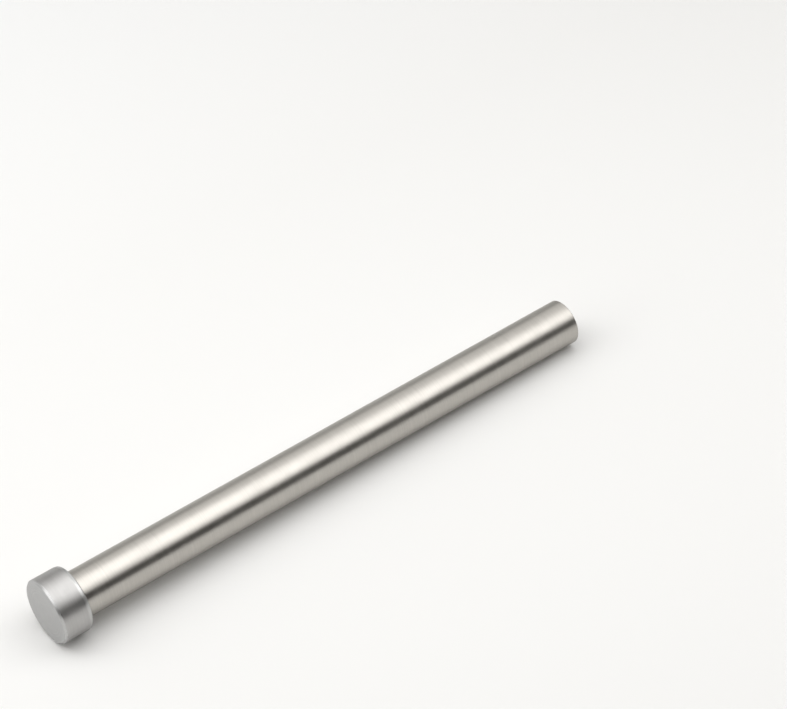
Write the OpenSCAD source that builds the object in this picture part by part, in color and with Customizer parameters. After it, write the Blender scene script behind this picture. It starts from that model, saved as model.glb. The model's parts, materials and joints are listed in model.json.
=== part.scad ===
// Straight ejector pin for an injection mould, turned and ground from one bar of
// tool steel: a long cylindrical shank with a flat tip, and a short cylindrical
// head that the retainer plate holds. The pin stands on the outer face of its
// head, with its axis on +Z. All sizes are in millimetres.

/* [Shank] */
// Diameter of the ground shank
shank_d = 12; // [6:0.5:14]
// Length of the whole pin, from the outer face of the head to the tip
pin_len = 160; // [60:5:250]
// Bevel that breaks the edge of the tip, along the axis and across it
tip_bevel = 0.2; // [0.05:0.05:0.5]

/* [Head] */
// Diameter of the head
head_d = 17; // [16:0.5:22]
// Thickness of the head
head_t = 8; // [4:0.5:12]
// Bevel round the outer face of the head
face_bevel = 0.5; // [0.1:0.1:1]
// Bevel round the shoulder, the side of the head that the shank leaves
shoulder_bevel = 0.4; // [0.1:0.1:0.8]
// Radius of the fillet where the shank leaves the shoulder
root_r = 0.5; // [0.1:0.1:1]

/* [Hidden] */
shank_r = shank_d / 2;
head_r = head_d / 2;
// Width of the shoulder, from the shank to the bevel
shoulder_w = head_r - shank_r - shoulder_bevel;
// The fillet leaves at least half of the shoulder flat, to bear on the plate
fillet_r = min(root_r, shoulder_w / 2);
steel = [0.66, 0.65, 0.63];
$fn = 128;

// Diamond that takes a bevel of the given size off a square corner at its centre.
module corner_bevel(size) {
    circle(r = size, $fn = 4);
}

// Square on an inner corner, hollowed to a quarter circle that meets both sides.
module corner_fillet(radius) {
    difference() {
        square(2 * radius, center = true);
        translate([radius, radius]) circle(r = radius);
    }
}

// Half section of the head, from the axis out to its side.
module head_section() {
    difference() {
        square([head_r, head_t]);
        translate([head_r, 0]) corner_bevel(face_bevel);
        translate([head_r, head_t]) corner_bevel(shoulder_bevel);
    }
}

// Half section of the shank, from the middle of the head up to the tip.
module shank_section() {
    difference() {
        translate([0, head_t / 2]) square([shank_r, pin_len - head_t / 2]);
        translate([shank_r, pin_len]) corner_bevel(tip_bevel);
    }
}

// The whole pin: its half section turned about the axis.
module ejector_pin() {
    color(steel)
        rotate_extrude() {
            head_section();
            shank_section();
            translate([shank_r, head_t]) corner_fillet(fillet_r);
        }
}

ejector_pin();
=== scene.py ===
# Straight ejector pin for an injection mould, lying on a pale floor under soft
# studio light. The frame has the pin upright, with the outer face of its head
# at z = 0 and its axis on +Z, so the floor and the camera are turned to it.
import json
import math
from functools import partial

import bpy
import numpy as np
from mathutils import Matrix, Vector


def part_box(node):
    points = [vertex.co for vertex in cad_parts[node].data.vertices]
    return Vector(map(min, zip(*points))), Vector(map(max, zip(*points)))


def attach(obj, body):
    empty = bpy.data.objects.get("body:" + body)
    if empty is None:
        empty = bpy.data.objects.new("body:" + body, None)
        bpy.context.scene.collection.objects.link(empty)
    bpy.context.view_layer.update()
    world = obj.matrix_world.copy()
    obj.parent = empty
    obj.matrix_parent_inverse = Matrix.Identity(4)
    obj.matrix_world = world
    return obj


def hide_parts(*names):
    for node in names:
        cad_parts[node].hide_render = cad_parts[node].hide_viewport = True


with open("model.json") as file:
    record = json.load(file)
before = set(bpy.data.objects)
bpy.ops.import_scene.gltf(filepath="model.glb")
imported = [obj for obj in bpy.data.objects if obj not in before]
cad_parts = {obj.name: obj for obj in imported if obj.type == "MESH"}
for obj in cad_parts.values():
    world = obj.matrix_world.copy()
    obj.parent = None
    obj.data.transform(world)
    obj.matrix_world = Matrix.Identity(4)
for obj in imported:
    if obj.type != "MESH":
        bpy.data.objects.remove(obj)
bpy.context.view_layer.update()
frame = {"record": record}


# ---------------------------------------------------------------- the camera
# A long lens looks across the pin from above and from the side, with the head
# nearest. It is rolled until the floor that the pin lies on is level.
MM = 0.001
camera_azimuth = math.radians(88.463)
camera_elevation = math.radians(-26.131)
camera_roll = math.radians(61.127)
camera_distance = 754.08 * MM
camera_aim = Vector((0.0, -13.73 * MM, 112.31 * MM))

back = Vector((
    math.sin(camera_azimuth) * math.cos(camera_elevation),
    -math.cos(camera_azimuth) * math.cos(camera_elevation),
    math.sin(camera_elevation),
))
level_right = Vector((0.0, 0.0, 1.0)).cross(back).normalized()
level_up = back.cross(level_right)
up = math.cos(camera_roll) * level_up - math.sin(camera_roll) * level_right
right = up.cross(back)

camera_data = bpy.data.cameras.new("camera")
camera_data.sensor_fit = "HORIZONTAL"
camera_data.sensor_width = 36.0
camera_data.lens = 137.2
camera_data.clip_start = 0.05
camera_data.clip_end = 20.0
camera = bpy.data.objects.new("camera", camera_data)
camera_turn = Matrix((right, up, back)).transposed().to_4x4()
camera.matrix_world = Matrix.Translation(camera_aim + back * camera_distance) @ camera_turn
bpy.context.collection.objects.link(camera)
bpy.context.scene.camera = camera


# ------------------------------------------------------------------- the pin
# The whole pin is turned from one bar of hot-work tool steel and hardened. Its
# head is left as turned, with both rims bevelled, and the shank is then ground
# between centres to its fit, up to a small fillet under the head.
mounts = {mount["name"]: mount for mount in frame["record"]["mounts"]}
far_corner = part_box("ejector_pin")[1]
head_radius = far_corner[0]
pin_length = far_corner[2]
head_thickness = mounts["shoulder"]["pos_m"][2]
shank_radius = mounts["shank"]["dims"]["r_mm"] * MM
face_bevel = 0.5 * MM
shoulder_bevel = 0.4 * MM
tip_bevel = 0.2 * MM
fillet_radius = 0.5 * MM

# Before its bevel, the shoulder rim is eased by a slight slope. The slope starts
# and ends at these heights under the shoulder, and ends this deep in the side.
ease_start = 0.95 * MM
ease_end = 0.25 * MM
ease_depth = 0.145 * MM

# Radii that round the edges of the bevels, the start of the slope and the tip.
edge_radius = 0.12 * MM
ease_radius = 0.6 * MM
tip_edge_radius = 0.072 * MM

# Corners of the half section as (radius, height), with the radius of the curve
# that takes each one off, and the finish of the stretch that leaves it.
half_section = [
    (0.0, 0.0, 0.0, "faced_end"),
    (head_radius - face_bevel, 0.0, edge_radius, "rim_bevel"),
    (head_radius, face_bevel, edge_radius, "turned_head"),
    (head_radius, head_thickness - ease_start, ease_radius, "eased_rim"),
    (head_radius - ease_depth, head_thickness - ease_end, edge_radius, "eased_rim"),
    (head_radius - shoulder_bevel, head_thickness, edge_radius, "shoulder_face"),
    (shank_radius, head_thickness, fillet_radius, "ground_shank"),
    (shank_radius, pin_length - tip_bevel, tip_edge_radius, "tip_edge"),
    (shank_radius - tip_bevel, pin_length, tip_edge_radius, "ground_tip"),
    (0.0, pin_length, 0.0, None),
]
finishes = list(dict.fromkeys(corner[3] for corner in half_section[:-1]))
rim_finishes = ["rim_bevel", "eased_rim"]

row_spacing = 4.0 * MM
corner_guard = 0.12 * MM
corner_rows = 7
facets_round = 288


def rounded_corner(before, corner, after, radius, steps):
    """Points of the arc that rounds a corner. Its ends lie on the two sides, at
    radius times tan(half the turn) from the corner, and it runs evenly between
    the normals of the two sides about the centre of the curve."""
    arriving = (corner - before) / np.linalg.norm(corner - before)
    leaving = (after - corner) / np.linalg.norm(after - corner)
    turn = math.atan2(np.cross(arriving, leaving), arriving @ leaving)
    start = corner - arriving * radius * math.tan(abs(turn) / 2)
    side = np.array([-arriving[1], arriving[0]]) * np.sign(turn)
    angles = np.linspace(0.0, abs(turn), steps)[:, None]
    return start + radius * (np.sin(angles) * arriving + (1 - np.cos(angles)) * side)


def section_rows(corners):
    """Rows of the half section, from the middle of the head's face to the
    middle of the tip, and the finish of each band between two rows. Each
    straight stretch is cut evenly, with a row close to either end, so that the
    smooth shading of the corners stays in the corners. A corner's curve has the
    finish of the stretch before it, unless a rim starts there."""
    places = np.array([corner[:2] for corner in corners])
    rows = [places[:1]]
    bands = []
    for i in range(1, len(corners)):
        before = corners[i - 1][3]
        curve_radius, after = corners[i][2:]
        curve = places[i:i + 1]
        if curve_radius:
            curve = rounded_corner(*places[i - 1:i + 2], curve_radius, corner_rows)
        begin, stop = rows[-1][-1], curve[0]
        length = np.linalg.norm(stop - begin)
        guard = min(corner_guard, length / 4)
        cuts = np.linspace(guard, length - guard, 2 + int(length / row_spacing))
        straight = begin + (stop - begin) * cuts[:, None] / length
        rows += [straight, curve]
        bands += [before] * (len(straight) + 1)
        bands += [after if after in rim_finishes else before] * (len(curve) - 1)
    return np.vstack(rows), bands


def turned_surface(rows, around):
    """Vertices and faces of a section turned about Z: each row is a circle of
    (r cos a, r sin a, z), with the first and last rows drawn to one point. The
    faces come band by band, in the order of the rows."""
    angle = np.arange(around) * 2 * math.pi / around
    ring = np.stack([np.cos(angle), np.sin(angle)], axis=1)
    middle = rows[1:-1]
    places = np.empty((len(middle), around, 3))
    places[..., :2] = middle[:, None, :1] * ring
    places[..., 2] = middle[:, 1:]
    poles = np.array([[0, 0, rows[0, 1]], [0, 0, rows[-1, 1]]])
    grid = np.arange(len(middle) * around).reshape(len(middle), around)
    beside = np.roll(grid, -1, axis=1)
    quads = np.stack([grid[:-1], beside[:-1], beside[1:], grid[1:]], axis=-1).reshape(-1, 4)
    first = np.full(around, grid.size)
    low = np.stack([first, beside[0], grid[0]], axis=-1)
    high = np.stack([first + 1, grid[-1], beside[-1]], axis=-1)
    return np.vstack([places.reshape(-1, 3), poles]), low.tolist() + quads.tolist() + high.tolist()


rows, bands = section_rows(half_section)
places, faces = turned_surface(rows, facets_round)
pin_mesh = bpy.data.meshes.new("ejector_pin_surface")
pin_mesh.from_pydata(places.tolist(), [], faces)
face_finish = np.repeat([finishes.index(name) for name in bands], facets_round)
pin_mesh.polygons.foreach_set("material_index", face_finish.astype(np.int32))
pin_mesh.polygons.foreach_set("use_smooth", np.ones(len(faces), dtype=bool))
pin_mesh.update()
pin = bpy.data.objects.new("ejector_pin_surface", pin_mesh)
bpy.context.collection.objects.link(pin)


def wire(tree, kind, inputs=(), **settings):
    """Adds a node to a tree, with its settings, and fills its inputs: a socket
    is joined, and anything else is set as the input's value."""
    node = tree.nodes.new(kind)
    for name, value in settings.items():
        setattr(node, name, value)
    for name, value in dict(inputs).items():
        if isinstance(value, bpy.types.NodeSocket):
            tree.links.new(value, node.inputs[name])
        else:
            node.inputs[name].default_value = value
    return node


def spread(tree, value, low, high):
    """A noise value between 0.3 and 0.7, spread over low to high."""
    return wire(tree, "ShaderNodeMapRange", {
        "Value": value, "From Min": 0.3, "From Max": 0.7, "To Min": low, "To Max": high,
    }).outputs["Result"]


def tool_marks(tree, place, across, along, detail):
    """Fine marks that run round the pin: noise that changes over a length
    along the axis, and only slowly across it."""
    stretched = wire(tree, "ShaderNodeMapping", {
        "Vector": place, "Scale": (1 / across, 1 / across, 1 / along),
    }).outputs["Vector"]
    return wire(tree, "ShaderNodeTexNoise", {
        "Vector": stretched, "Scale": 1.0, "Detail": detail, "Roughness": 0.55,
    }).outputs["Fac"]


def rings(tree, place, pitch, detail):
    """Marks of a facing cut: noise of the distance from the axis alone."""
    flat = wire(tree, "ShaderNodeVectorMath", {
        0: place, 1: (1.0, 1.0, 0.0)}, operation="MULTIPLY").outputs[0]
    radius = wire(tree, "ShaderNodeVectorMath", {0: flat}, operation="LENGTH").outputs["Value"]
    return wire(tree, "ShaderNodeTexNoise", {
        "W": radius, "Scale": 1 / pitch, "Detail": detail}, noise_dimensions="1D").outputs["Fac"]


def steel(name, tone, roughness, stretch, marks, mark_height, blotch=0.02, drift=0.05):
    """A bare steel finish. marks(tree, place) gives the noise of its tool
    marks. They set the height, and change the roughness by drift and the tone
    by a share of it. Larger, soft blotches from handling and oil change the
    roughness by blotch. The gloss is stretched across the marks by stretch, and
    a glancing tint below 1 keeps the steel from mirroring fully at its edges."""
    blotch_size = 4.8 * MM
    tone_drift = 0.6 * drift
    glancing_tint = (0.78, 0.78, 0.78, 1.0)
    quarter_turn = 0.25
    material = bpy.data.materials.new(name)
    material.use_nodes = True
    tree = material.node_tree
    tree.nodes.clear()
    place = wire(tree, "ShaderNodeTexCoord").outputs["Object"]
    marked = marks(tree, place)
    patches = wire(tree, "ShaderNodeTexNoise", {
        "Vector": place, "Scale": 1 / blotch_size, "Detail": 3.0, "Roughness": 0.6}).outputs["Fac"]
    colour = wire(tree, "ShaderNodeVectorMath", {
        0: tone, "Scale": spread(tree, marked, 1 - tone_drift, 1 + tone_drift),
    }, operation="SCALE").outputs[0]
    rough = wire(tree, "ShaderNodeMath", {
        0: spread(tree, marked, roughness - drift / 2, roughness + drift / 2),
        1: spread(tree, patches, -blotch, blotch),
    }, operation="ADD").outputs[0]
    bump = wire(tree, "ShaderNodeBump", {
        "Strength": 1.0, "Distance": mark_height, "Height": marked}).outputs["Normal"]
    turned = wire(tree, "ShaderNodeTangent", direction_type="RADIAL", axis="Z").outputs["Tangent"]
    surface = wire(tree, "ShaderNodeBsdfPrincipled", {
        "Base Color": colour,
        "Metallic": 1.0,
        "Specular Tint": glancing_tint,
        "Roughness": rough,
        "Anisotropic": stretch,
        "Anisotropic Rotation": quarter_turn,
        "Tangent": turned,
        "Normal": bump,
    })
    wire(tree, "ShaderNodeOutputMaterial", {"Surface": surface.outputs["BSDF"]})
    return material


warm_steel = (0.475, 0.455, 0.424)
cool_steel = (0.477, 0.470, 0.463)
face_steel = (0.512, 0.512, 0.510)
rim_steel = (0.475, 0.475, 0.473)
# Painted highlight: the eased rim's steel is a little paler than the rim bevel's, to brighten the
# line of light along the shoulder rim.
painted_highlight_rim = (0.505, 0.505, 0.500)
# Darker steel, partly a duller finish and partly painted shade: on the shoulder face it stands for
# the shade and the dark mirrored shank at the foot of the head, and on the tip's end it dims the
# pale room that the end mirrors.
dull_and_shaded_steel = (0.295, 0.289, 0.283)
rim_marks = partial(tool_marks, across=3 * MM, along=0.3 * MM, detail=2.0)
dull_marks = partial(rings, pitch=0.35 * MM, detail=3.0)
finish_of = {
    "faced_end": steel(
        "faced_end", face_steel, roughness=0.46, stretch=0.2,
        marks=partial(rings, pitch=0.4 * MM, detail=3.0),
        mark_height=0.014 * MM, blotch=0.05, drift=0.12),
    "rim_bevel": steel(
        "rim_bevel", rim_steel, roughness=0.29, stretch=0.2,
        marks=rim_marks, mark_height=0.0006 * MM),
    "turned_head": steel(
        "turned_head", cool_steel, roughness=0.49, stretch=0.82,
        marks=partial(tool_marks, across=9 * MM, along=0.35 * MM, detail=3.0),
        mark_height=0.0022 * MM, blotch=0.05, drift=0.10),
    # The eased rim's paler tone is a painted highlight.
    "eased_rim": steel(
        "eased_rim", painted_highlight_rim, roughness=0.33, stretch=0.2,
        marks=rim_marks, mark_height=0.0006 * MM),
    # Painted shade: the shoulder face is darkened for the shade and the mirrored dark shank at the
    # foot of the head.
    "shoulder_face": steel(
        "shoulder_face", dull_and_shaded_steel, roughness=0.44, stretch=0.2,
        marks=dull_marks, mark_height=0.014 * MM, blotch=0.05, drift=0.12),
    "ground_shank": steel(
        "ground_shank", warm_steel, roughness=0.36, stretch=0.7,
        marks=partial(tool_marks, across=24 * MM, along=0.2 * MM, detail=4.0),
        mark_height=0.0003 * MM, blotch=0.04, drift=0.12),
    "tip_edge": steel(
        "tip_edge", warm_steel, roughness=0.26, stretch=0.2,
        marks=partial(tool_marks, across=4 * MM, along=0.3 * MM, detail=1.0),
        mark_height=0.0003 * MM),
    # The tip's end is darkened too, partly painted shade that dims the pale room it mirrors.
    "ground_tip": steel(
        "ground_tip", dull_and_shaded_steel, roughness=0.44, stretch=0.2,
        marks=dull_marks, mark_height=0.014 * MM, blotch=0.05, drift=0.12),
}
for name in finishes:
    pin_mesh.materials.append(finish_of[name])

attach(pin, "root")
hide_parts("ejector_pin")


# ----------------------------------------------------------------- the floor
# A sweep of pale matt paper, flat under the pin, which rests on the rims of its
# shoulder and its tip, and curved up behind it. Seen from behind, the paper is
# left out, also of what the steel mirrors, so that the pin shows from every side.
away = Vector((1.0, -1.0, 0.0)).normalized()
toward = Vector((1.0, 1.0, 0.0)).normalized()
axis = Vector((0.0, 0.0, 1.0))
rim_low = (head_radius, head_thickness - ease_start)
rim_high = (shank_radius, pin_length - tip_bevel)
slope = math.atan2(rim_low[0] - rim_high[0], rim_high[1] - rim_low[1])
floor_up = math.cos(slope) * away - math.sin(slope) * axis
floor_long = math.cos(slope) * axis + math.sin(slope) * away
floor_touch = -rim_low[0] * away + rim_low[1] * axis
floor_middle = floor_touch + floor_long * (pin_length / 2 - rim_low[1])


def on_floor(near, high, along):
    """A place given by its distances towards the camera's side, above the
    floor and along the pin from its middle."""
    return floor_middle + toward * near + floor_up * high + floor_long * along


near_edge = 1.5
sweep_start = -0.62
sweep_radius = 0.28
sweep_height = 0.62
half_length = 1.6
flat_rows = 29
bend_rows = 25
wall_rows = 5
length_rows = 33

# The paper's section, across the pin: flat, a quarter of a circle, and upright.
bend = np.linspace(0.0, math.pi / 2, bend_rows)
across = np.concatenate([
    np.linspace(near_edge, sweep_start, flat_rows, endpoint=False),
    sweep_start - sweep_radius * np.sin(bend),
    np.full(wall_rows, sweep_start - sweep_radius),
])
height = np.concatenate([
    np.zeros(flat_rows),
    sweep_radius * (1 - np.cos(bend)),
    np.linspace(sweep_radius, sweep_height, wall_rows + 1)[1:],
])
along = np.linspace(-half_length, half_length, length_rows)
paper_places = (
    np.array(floor_middle)
    + across[:, None, None] * np.array(toward)
    + height[:, None, None] * np.array(floor_up)
    + along[None, :, None] * np.array(floor_long)
).reshape(-1, 3)
grid = np.arange(len(across) * len(along)).reshape(len(across), len(along))
paper_faces = np.stack([grid[:-1, :-1], grid[:-1, 1:], grid[1:, 1:], grid[1:, :-1]], axis=-1)
paper_mesh = bpy.data.meshes.new("paper_sweep")
paper_mesh.from_pydata(paper_places.tolist(), [], paper_faces.reshape(-1, 4).tolist())
paper_mesh.polygons.foreach_set("use_smooth", np.ones(len(paper_mesh.polygons), dtype=bool))
paper_mesh.update()
paper_sweep = bpy.data.objects.new("paper_sweep", paper_mesh)
bpy.context.collection.objects.link(paper_sweep)

# Painted light: the paper's colour is paler behind the pin, to make up for the lamps' light, which
# falls less there.
# It pales between these distances from the pin towards the camera's side.
near_tone = np.array([0.89, 0.885, 0.872])
far_tone = np.array([0.94, 0.94, 0.935])
pale_start = -0.10
pale_end = -0.24

pale_paper = bpy.data.materials.new("pale_paper")
pale_paper.use_nodes = True
tree = pale_paper.node_tree
tree.nodes.clear()
nearness = wire(tree, "ShaderNodeVectorMath", {
    0: wire(tree, "ShaderNodeTexCoord").outputs["Object"], 1: toward,
}, operation="DOT_PRODUCT").outputs["Value"]
painted_light_share = wire(tree, "ShaderNodeMapRange", {
    "Value": nearness, "From Min": pale_start, "From Max": pale_end,
}).outputs["Result"]
paper_tone = wire(tree, "ShaderNodeVectorMath", {
    0: painted_light_share, 1: far_tone - near_tone, 2: near_tone,
}, operation="MULTIPLY_ADD").outputs[0]
matt = wire(tree, "ShaderNodeBsdfDiffuse", {"Color": paper_tone})
clear = wire(tree, "ShaderNodeBsdfTransparent")
ray = wire(tree, "ShaderNodeLightPath").outputs
from_behind = wire(tree, "ShaderNodeMath", {
    0: wire(tree, "ShaderNodeNewGeometry").outputs["Backfacing"],
    1: ray["Is Camera Ray"],
}, operation="MULTIPLY").outputs[0]
been_behind = wire(tree, "ShaderNodeMath", {
    0: ray["Transparent Depth"], 1: 0.5}, operation="GREATER_THAN").outputs[0]
left_out = wire(tree, "ShaderNodeMath", {
    0: from_behind, 1: been_behind}, operation="MAXIMUM").outputs[0]
shown = wire(tree, "ShaderNodeMixShader", {
    0: left_out, 1: matt.outputs[0], 2: clear.outputs[0]})
wire(tree, "ShaderNodeOutputMaterial", {"Surface": shown.outputs[0]})
paper_mesh.materials.append(pale_paper)


# ----------------------------------------------------------------- the light
# A long soft box hangs over the pin, turned across it, and a smaller one stands
# past the head end and shines along the pin. Dark cards out of the camera's sight
# draw the dark lines on the steel, and the rest of the room is plain and pale.
def soft_box(name, middle, lengthways, shining, length, width, radiance):
    """A flat lamp of even brightness, given by its middle, by the direction of
    its length and by the direction that it shines in. Its power is radiance
    times pi times its area."""
    data = bpy.data.lights.new(name, "AREA")
    data.shape = "RECTANGLE"
    data.size = length
    data.size_y = width
    data.energy = radiance * math.pi * length * width
    lamp = bpy.data.objects.new(name, data)
    behind = -shining
    turn = Matrix((lengthways, behind.cross(lengthways), behind)).transposed().to_4x4()
    lamp.matrix_world = Matrix.Translation(middle) @ turn
    lamp.visible_camera = False
    bpy.context.collection.objects.link(lamp)


box_turn = math.radians(36)
box_length = toward * math.sin(box_turn) + floor_long * math.cos(box_turn)
soft_box(
    "long_soft_box", on_floor(-0.10, 0.49, -0.17), box_length, -floor_up,
    length=1.63, width=0.417, radiance=1.58)
soft_box(
    "end_soft_box", on_floor(-0.17, 0.41, -1.0), toward, floor_long,
    length=0.65, width=0.28, radiance=1.38)


def dark_card(name, corners, shade, end_shade):
    """A flat matt card between four corners, which the camera doesn't see. It
    has one grey along the pin, which runs to the end shade past the tip."""
    shade_until = 0.15
    end_shade_from = 0.55
    mesh = bpy.data.meshes.new(name)
    mesh.from_pydata([tuple(corner) for corner in corners], [], [(0, 1, 2, 3)])
    card = bpy.data.objects.new(name, mesh)
    bpy.context.collection.objects.link(card)
    material = bpy.data.materials.new(name)
    material.use_nodes = True
    tree = material.node_tree
    tree.nodes.clear()
    height = wire(tree, "ShaderNodeSeparateXYZ", {
        0: wire(tree, "ShaderNodeTexCoord").outputs["Object"]}).outputs["Z"]
    grey = wire(tree, "ShaderNodeMapRange", {
        "Value": height, "From Min": shade_until, "From Max": end_shade_from,
        "To Min": shade, "To Max": end_shade}).outputs["Result"]
    matt = wire(tree, "ShaderNodeBsdfDiffuse", {"Color": grey})
    wire(tree, "ShaderNodeOutputMaterial", {"Surface": matt.outputs[0]})
    mesh.materials.append(material)
    card.visible_camera = False


# One card stands along the near side, and one past the head end. The third is
# under the level of the floor, for the views from behind.
dark_card("dark_screen", [
    on_floor(0.45, 0.005, -1.1), on_floor(0.45, 0.055, 1.4),
    on_floor(0.45, 0.347, 1.4), on_floor(0.45, 0.347, -1.1),
], shade=0.005, end_shade=0.165)
dark_card("end_screen", [
    on_floor(-0.05, 0.002, -1.06), on_floor(0.60, 0.002, -1.06),
    on_floor(0.60, 0.21, -1.06), on_floor(-0.05, 0.21, -1.06),
], shade=0.02, end_shade=0.02)
dark_card("under_screen", [
    on_floor(-0.50, -0.16, -1.1), on_floor(-0.50, -0.16, 1.4),
    on_floor(-0.30, -0.46, 1.4), on_floor(-0.30, -0.46, -1.1),
], shade=0.12, end_shade=0.12)

# The room is white to the camera and in the steel, and lights the pin less.
room_white = 1.0
room_light = 0.56
room = bpy.data.worlds.new("room")
bpy.context.scene.world = room
room.use_nodes = True
room.cycles.sampling_method = "NONE"
tree = room.node_tree
tree.nodes.clear()
ray = wire(tree, "ShaderNodeLightPath").outputs
seen = ray["Is Camera Ray"]
for kind in ("Is Glossy Ray", "Is Transmission Ray"):
    seen = wire(tree, "ShaderNodeMath", {0: seen, 1: ray[kind]}, operation="MAXIMUM").outputs[0]
strength = wire(tree, "ShaderNodeMapRange", {
    "Value": seen, "To Min": room_light, "To Max": room_white}).outputs["Result"]
white = wire(tree, "ShaderNodeBackground", {
    "Color": (1.0, 0.995, 0.98, 1.0), "Strength": strength})
wire(tree, "ShaderNodeOutputWorld", {"Surface": white.outputs[0]})

bpy.context.scene.view_settings.view_transform = "Standard"
